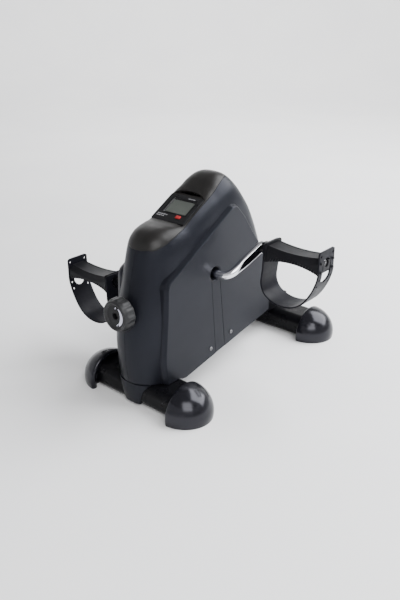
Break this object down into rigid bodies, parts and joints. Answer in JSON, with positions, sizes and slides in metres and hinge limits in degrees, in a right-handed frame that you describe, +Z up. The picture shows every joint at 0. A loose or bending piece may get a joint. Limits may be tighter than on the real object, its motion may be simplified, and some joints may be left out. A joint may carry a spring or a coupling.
{
  "type": "pedal exerciser",
  "caption": "Free-standing pedal exerciser: upright body on two cross tubes with domed feet, bent crank with strapped pedals, tension knob and display.",
  "frame": {"origin": "on the floor, under the middle of the whole machine's box", "axes": "+Z up; X along the crank's axle, with +X the machine's right; +Y from the knob and display end towards the rear tube"},
  "size_m": [0.382, 0.4068, 0.2936],
  "materials": {
    "black_plastic": "satin moulded black, slightly bluish",
    "cap_black": "glossy moulded black",
    "black_paint": "gloss black powder coat",
    "monitor_black": "gloss black",
    "lcd_green": "grey-green liquid crystal screen",
    "board_green": "green circuit board",
    "button_red": "red moulded plastic",
    "pedal_black": "fine-grained black polypropylene",
    "strap_rubber": "smooth dark grey soft plastic",
    "knob_grey": "satin charcoal moulding",
    "nylon": "off-white nylon",
    "felt": "brown felt on a woven band",
    "lead_black": "black cable sheath",
    "chrome": "bright chrome plate",
    "steel": "zinc-plated steel"
  },
  "bodies": {
    "base": {"button_cell": "steel", "console_cover": "black_plastic", "foot_cover": "black_plastic", "front_left_cap": "cap_black", "front_right_cap": "cap_black", "front_tube": "black_paint", "front_tube_bolt": "steel", "front_tube_nut": "steel", "lcd_panel": "lcd_green", "left_bearing_lower": "nylon", "left_bearing_upper": "nylon", "left_shell": "black_plastic", "left_shell_screw_1": "steel", "left_shell_screw_2": "steel", "left_slot_cover": "black_plastic", "main_frame": "black_paint", "monitor_board": "board_green", "monitor_case": "monitor_black", "rear_left_cap": "cap_black", "rear_right_cap": "cap_black", "rear_tube": "black_paint", "rear_tube_bolt": "steel", "rear_tube_nut": "steel", "right_bearing_lower": "nylon", "right_bearing_upper": "nylon", "right_shell": "black_plastic", "right_shell_screw_1": "steel", "right_shell_screw_2": "steel", "right_slot_cover": "black_plastic", "sensor_lead": "lead_black", "speed_sensor": "lead_black"},
    "crank": {"crankshaft": "chrome", "friction_drum": "steel", "drum_magnet": "steel", "left_spindle": "steel", "left_spindle_collar": "black_paint", "right_spindle": "steel", "right_spindle_collar": "black_paint"},
    "right_pedal": {"right_pedal_body": "pedal_black", "right_pedal_flange": "pedal_black", "right_foot_strap": "strap_rubber"},
    "left_pedal": {"left_pedal_body": "pedal_black", "left_pedal_flange": "pedal_black", "left_foot_strap": "strap_rubber"},
    "knob": {"tension_knob": "knob_grey", "tension_screw": "steel"},
    "tension_slide": {"tension_carriage": "steel", "friction_band": "felt"},
    "reset_button": {"reset_button": "button_red"}
  },
  "joints": [
    {"name": "crank_spin", "type": "hinge", "parent": "base", "child": "crank", "pos_m": [0, -0.0549, 0.169], "axis": [1, 0, 0], "continuous": true},
    {"name": "right_pedal_spin", "type": "hinge", "parent": "crank", "child": "right_pedal", "pos_m": [0.089, -0.00698, 0.20511], "axis": [1, 0, 0], "continuous": true},
    {"name": "left_pedal_spin", "type": "hinge", "parent": "crank", "child": "left_pedal", "pos_m": [-0.089, -0.10282, 0.13289], "axis": [1, 0, 0], "continuous": true},
    {"name": "knob_turn", "type": "hinge", "parent": "base", "child": "knob", "pos_m": [0, -0.1854, 0.143], "axis": [0, -1, 0], "range_deg": [0, 648]},
    {"name": "tension_travel", "type": "slide", "parent": "base", "child": "tension_slide", "axis": [0, -1, 0], "range_m": [0, 0.0023]},
    {"name": "button_press", "type": "slide", "parent": "base", "child": "reset_button", "axis": [0, 0.4822, -0.876], "range_m": [0, 0.001], "stiffness_N_per_m": 400}
  ],
  "couplings": [
    {"joint": "tension_travel", "follows": "knob_turn", "m_per_rad": 0.00019894}
  ]
}
